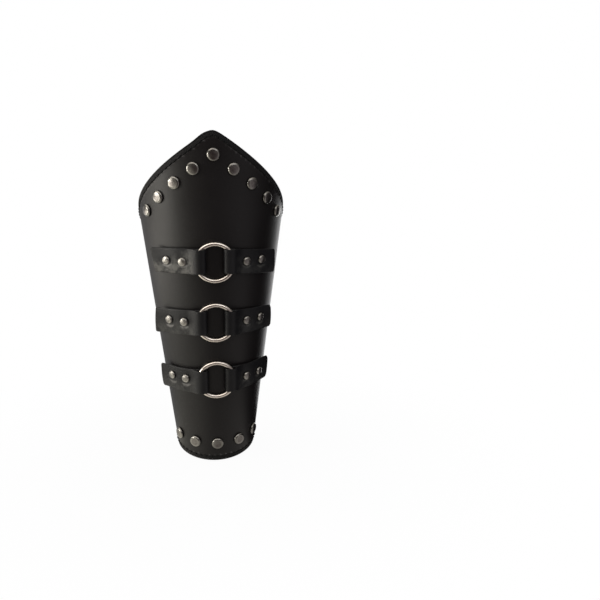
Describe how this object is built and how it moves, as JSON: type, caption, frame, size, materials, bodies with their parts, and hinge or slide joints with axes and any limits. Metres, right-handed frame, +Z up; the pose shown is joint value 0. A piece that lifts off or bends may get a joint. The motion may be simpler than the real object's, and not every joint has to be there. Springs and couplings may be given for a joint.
{
  "type": "leather bracer",
  "caption": "Conical leather forearm bracer with a pointed elbow edge, rings held in riveted tabs, cap rivet borders and a laced back.",
  "frame": {"origin": "on the forearm's axis, level with the lowest point of the wrist edge", "axes": "+Z up the forearm's axis towards the elbow point; -Y is the side with the rings; +X to the viewer's right, seen from the rings' side"},
  "size_m": [0.1123, 0.1114, 0.2504],
  "materials": {
    "outer_leather": "black, smooth, semi-gloss",
    "lining_leather": "dark brown suede side",
    "tab_leather": "black, grained, semi-gloss",
    "ring_nickel": "polished nickel plate",
    "rivet_gunmetal": "antique nickel, worn bright at the rims",
    "rivet_base_nickel": "plain nickel plate",
    "eyelet_gunmetal": "antique nickel"
  },
  "bodies": {
    "bracer": {"leather_body": "outer_leather", "lining": "lining_leather", "top_left_tab": "tab_leather", "top_right_tab": "tab_leather", "middle_left_tab": "tab_leather", "middle_right_tab": "tab_leather", "wrist_left_tab": "tab_leather", "wrist_right_tab": "tab_leather", "point_rivet_caps": "rivet_gunmetal", "point_rivet_posts": "rivet_base_nickel", "wrist_rivet_caps": "rivet_gunmetal", "wrist_rivet_posts": "rivet_base_nickel", "top_tab_rivet_caps": "rivet_gunmetal", "top_tab_rivet_posts": "rivet_base_nickel", "middle_tab_rivet_caps": "rivet_gunmetal", "middle_tab_rivet_posts": "rivet_base_nickel", "wrist_tab_rivet_caps": "rivet_gunmetal", "wrist_tab_rivet_posts": "rivet_base_nickel", "left_eyelets": "eyelet_gunmetal", "right_eyelets": "eyelet_gunmetal", "left_eyelet_washers": "eyelet_gunmetal", "right_eyelet_washers": "eyelet_gunmetal"},
    "top_o_ring": {"top_ring": "ring_nickel"},
    "middle_o_ring": {"middle_ring": "ring_nickel"},
    "wrist_o_ring": {"wrist_ring": "ring_nickel"}
  },
  "joints": [
    {"name": "top_ring_spin", "type": "hinge", "parent": "bracer", "child": "top_o_ring", "pos_m": [0, -0.05361, 0.15859], "axis": [0, -0.9914, -0.1305], "continuous": true},
    {"name": "middle_ring_spin", "type": "hinge", "parent": "bracer", "child": "middle_o_ring", "pos_m": [0, -0.04757, 0.1136], "axis": [0, -0.9914, -0.1305], "continuous": true},
    {"name": "wrist_ring_spin", "type": "hinge", "parent": "bracer", "child": "wrist_o_ring", "pos_m": [0, -0.04151, 0.06862], "axis": [0, -0.9914, -0.1305], "continuous": true}
  ]
}
